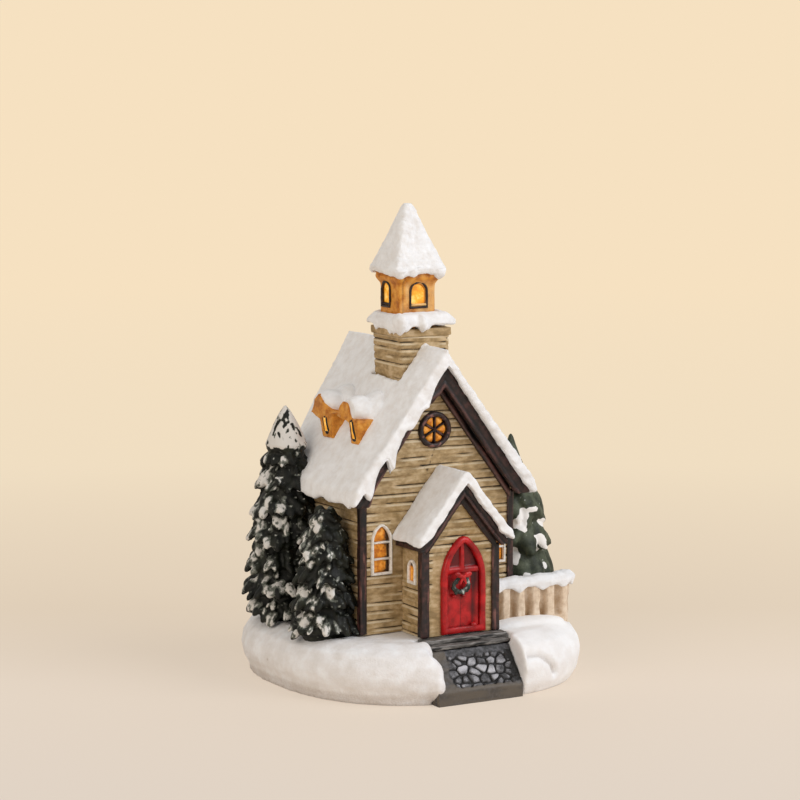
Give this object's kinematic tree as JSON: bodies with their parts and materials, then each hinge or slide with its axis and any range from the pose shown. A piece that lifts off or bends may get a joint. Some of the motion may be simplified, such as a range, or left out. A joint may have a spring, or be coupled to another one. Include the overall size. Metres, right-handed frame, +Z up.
{
  "type": "christmas village church",
  "caption": "Cast-resin winter village church on a snow mound, with lit windows, a red door, snow-laden trees and a light unit with its battery lid underneath.",
  "frame": {"origin": "on the table under the middle of the snow mound", "axes": "+Z up, the church door looks towards -Y, +X to the right of a viewer who faces the door"},
  "size_m": [0.096, 0.0995, 0.14],
  "materials": {
    "snow": "white resin snow, sugar-grained, matte",
    "siding": "khaki paint on cast boards, dark wash in the grooves",
    "dark_wood": "dark brown paint, satin, lengthwise brush streaks",
    "ochre": "ochre yellow paint, satin",
    "dark_stone": "dark grey paint, lighter on the high places",
    "door_red": "crimson paint, glossy",
    "amber": "translucent amber, lit from behind",
    "window_white": "off-white paint, satin",
    "tree_green": "near-black green paint, satin, with white dabs",
    "sage_green": "grey-green paint with white patches",
    "fence_beige": "beige paint, brown wash in the recesses",
    "black_plastic": "black moulded plastic, fine spark texture",
    "steel": "bright nickel-plated steel",
    "brass": "plain spring brass",
    "board_green": "green solder mask",
    "led_lens": "warm diffused lens"
  },
  "bodies": {
    "root": {"snow_base": "snow", "roof_snow": "snow", "near_dormer_snow": "snow", "far_dormer_snow": "snow", "ledge_snow": "snow", "steeple_snow": "snow", "porch_snow": "snow", "fence_snow": "snow", "front_wall": "siding", "rear_wall": "siding", "left_wall": "siding", "right_wall": "siding", "tower_walls": "siding", "tower_cornice": "siding", "porch_shell": "siding", "front_left_post": "dark_wood", "rear_left_post": "dark_wood", "front_right_post": "dark_wood", "rear_right_post": "dark_wood", "roof_deck_left": "dark_wood", "roof_deck_right": "dark_wood", "front_bargeboard": "dark_wood", "rear_bargeboard": "dark_wood", "rose_window_frame": "dark_wood", "porch_left_post": "dark_wood", "porch_right_post": "dark_wood", "porch_roof_deck": "dark_wood", "porch_bargeboard": "dark_wood", "near_dormer": "ochre", "far_dormer": "ochre", "belfry_walls": "ochre", "stone_path": "dark_stone", "lower_step": "dark_stone", "upper_step": "dark_stone", "door_frame": "door_red", "door_leaf": "door_red", "wreath_bow": "door_red", "front_glow_sheet": "amber", "near_dormer_pane": "amber", "far_dormer_pane": "amber", "belfry_glow_liner": "amber", "porch_window_pane": "amber", "left_window_frame": "window_white", "right_window_frame": "window_white", "tall_tree": "tree_green", "short_tree": "tree_green", "wreath": "tree_green", "right_tree": "sage_green", "fence_panel": "fence_beige", "battery_tray": "black_plastic", "button_cell_1": "steel", "button_cell_2": "steel", "button_cell_3": "steel", "contact_spring": "brass", "contact_plate": "brass", "led_board": "board_green", "led": "led_lens"},
    "battery_lid": {"battery_lid": "black_plastic"},
    "lid_screw": {"lid_screw": "steel"},
    "switch_slider": {"switch_slider": "black_plastic"}
  },
  "joints": [
    {"name": "lid_hinge", "type": "hinge", "parent": "root", "child": "battery_lid", "pos_m": [-0.0218, 0.002, 0.0014], "axis": [0, 1, 0], "range_deg": [0, 85]},
    {"name": "lid_screw_out", "type": "slide", "parent": "battery_lid", "child": "lid_screw", "axis": [0, 0, -1], "range_m": [0, 0.003]},
    {"name": "switch_slide", "type": "slide", "parent": "root", "child": "switch_slider", "axis": [1, 0, 0], "range_m": [0, 0.0024]}
  ]
}
